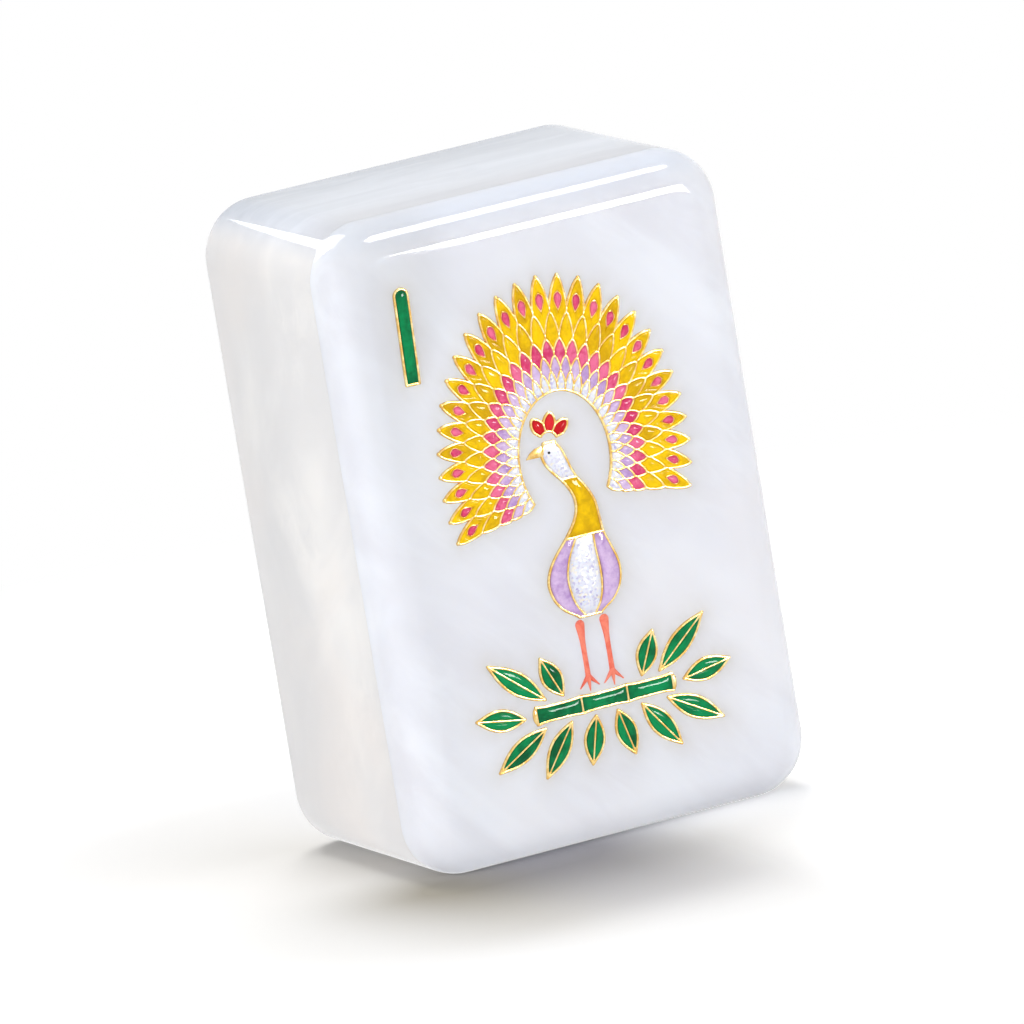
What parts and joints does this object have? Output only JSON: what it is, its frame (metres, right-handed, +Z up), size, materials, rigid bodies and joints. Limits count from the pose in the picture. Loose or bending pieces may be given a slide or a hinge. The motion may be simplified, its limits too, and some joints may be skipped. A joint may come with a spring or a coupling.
{
  "type": "mahjong tile",
  "caption": "Pearl mahjong tile of two bonded layers with rounded edges, a green rank bar and a fan-tailed bird on bamboo laid into the face in gold wire and enamel.",
  "frame": {"origin": "middle of the bottom end, under the middle of the standing tile's box", "axes": "+Z up the standing tile, +X to the right when looking at the face, -Y out of the face"},
  "size_m": [0.028, 0.0208, 0.0422],
  "materials": {
    "pearl_back": "polished pearl resin, warm white, cloudy",
    "pearl_face": "polished pearl resin, cool white, cloudy with slanting streaks",
    "gold_wire": "polished gilt wire",
    "yellow_enamel": "glossy clear yellow enamel, mottled",
    "rose_enamel": "glossy rose enamel",
    "lilac_enamel": "glossy lilac enamel",
    "pearl_enamel": "glossy pearl white enamel with fine glitter",
    "green_enamel": "glossy green enamel",
    "red_enamel": "glossy red enamel",
    "coral_enamel": "glossy coral enamel",
    "black_enamel": "glossy black enamel"
  },
  "bodies": {
    "root": {"back_block": "pearl_back", "face_layer": "pearl_face", "rank_bar_wire": "gold_wire", "rank_bar_enamel": "green_enamel", "train_wire": "gold_wire", "long_feathers": "yellow_enamel", "feather_eye_wires": "gold_wire", "feather_eye_enamel": "rose_enamel", "short_feathers": "yellow_enamel", "rose_scales": "rose_enamel", "lilac_scales": "lilac_enamel", "pearl_scales": "pearl_enamel", "bird_wire": "gold_wire", "breast_enamel": "pearl_enamel", "left_wing_enamel": "lilac_enamel", "right_wing_enamel": "lilac_enamel", "neck_enamel": "yellow_enamel", "head_enamel": "pearl_enamel", "beak": "gold_wire", "eye": "black_enamel", "crest_wire": "gold_wire", "crest_enamel": "red_enamel", "left_leg": "coral_enamel", "right_leg": "coral_enamel", "cane_wire": "gold_wire", "cane_enamel": "green_enamel", "left_leaf_wires": "gold_wire", "left_leaf_enamel": "green_enamel", "right_leaf_wires": "gold_wire", "right_leaf_enamel": "green_enamel"}
  },
  "joints": []
}
